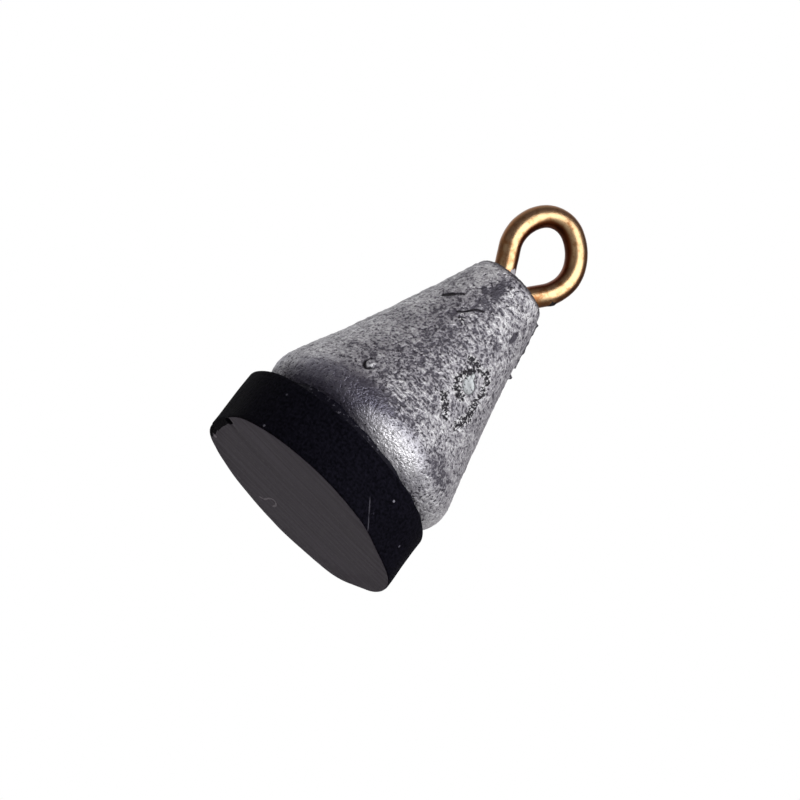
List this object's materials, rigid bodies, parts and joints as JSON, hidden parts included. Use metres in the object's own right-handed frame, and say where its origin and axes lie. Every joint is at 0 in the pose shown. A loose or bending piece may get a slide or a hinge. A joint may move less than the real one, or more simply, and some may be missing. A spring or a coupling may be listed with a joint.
{
  "type": "sounding lead",
  "caption": "Small cast lead cone with a bent wire eye in its top and a foam disc glued under its base, for finding the water's depth with rod and line.",
  "frame": {"origin": "middle of the underside of the foam disc, which is the middle of the part's box at its lowest level", "axes": "+Z along the lead's axis towards the eye; the eye and the mould's joint lie in the XZ plane, so the eye's opening runs along Y"},
  "size_m": [0.0206, 0.02, 0.035],
  "materials": {
    "cast_lead": "as cast, dull grey with worn bright spots",
    "brass_wire": "drawn wire, slightly tarnished",
    "black_foam": "matt closed-cell foam with a skin",
    "adhesive": "dark dried adhesive"
  },
  "bodies": {
    "root": {"lead_body": "cast_lead", "eye_wire": "brass_wire", "base_pad": "black_foam", "adhesive_film": "adhesive"}
  },
  "joints": []
}
